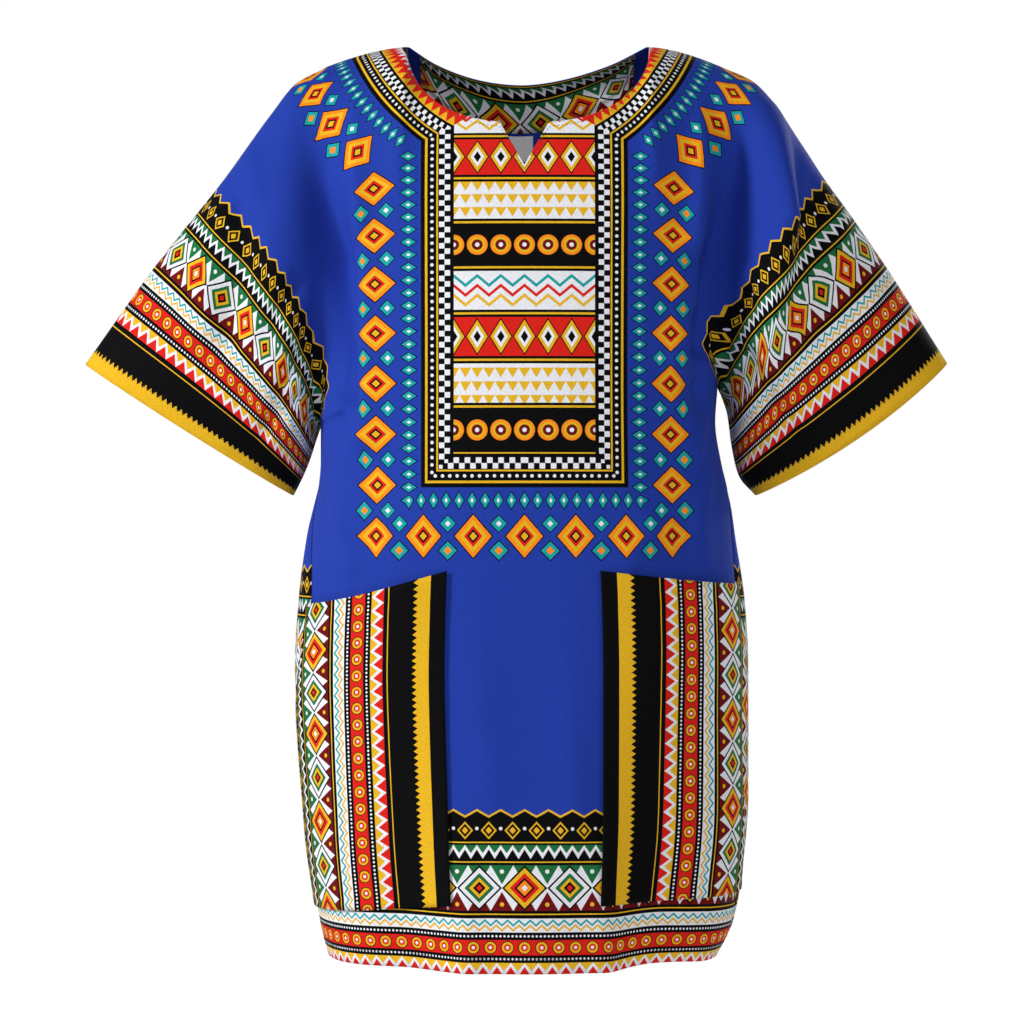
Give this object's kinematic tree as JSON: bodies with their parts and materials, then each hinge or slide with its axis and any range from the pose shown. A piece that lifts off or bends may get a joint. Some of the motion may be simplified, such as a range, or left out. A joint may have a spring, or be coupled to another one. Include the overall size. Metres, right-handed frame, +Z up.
{
  "type": "dashiki shirt",
  "caption": "Hollow worn dashiki shirt in printed cotton, with cut-on half sleeves, a scooped neck with a short notch, and tall patch pockets.",
  "frame": {"origin": "midway between the points where the shoulder seams meet the neck, level with them and in the plane of those seams", "axes": "+Z up; the front faces -Y; +X is to the viewer's right, which is the wearer's left"},
  "size_m": [0.723, 0.3024, 0.7573],
  "materials": {
    "printed_cotton": "plain-weave cotton, wax print on a royal blue ground",
    "border_cotton": "plain-weave cotton, the same print's black border",
    "woven_label": "white woven tape, bare"
  },
  "bodies": {
    "root": {"front": "printed_cotton", "back": "printed_cotton", "pocket_left": "border_cotton", "pocket_right": "border_cotton", "neck_facing": "border_cotton", "label": "woven_label"}
  },
  "joints": []
}
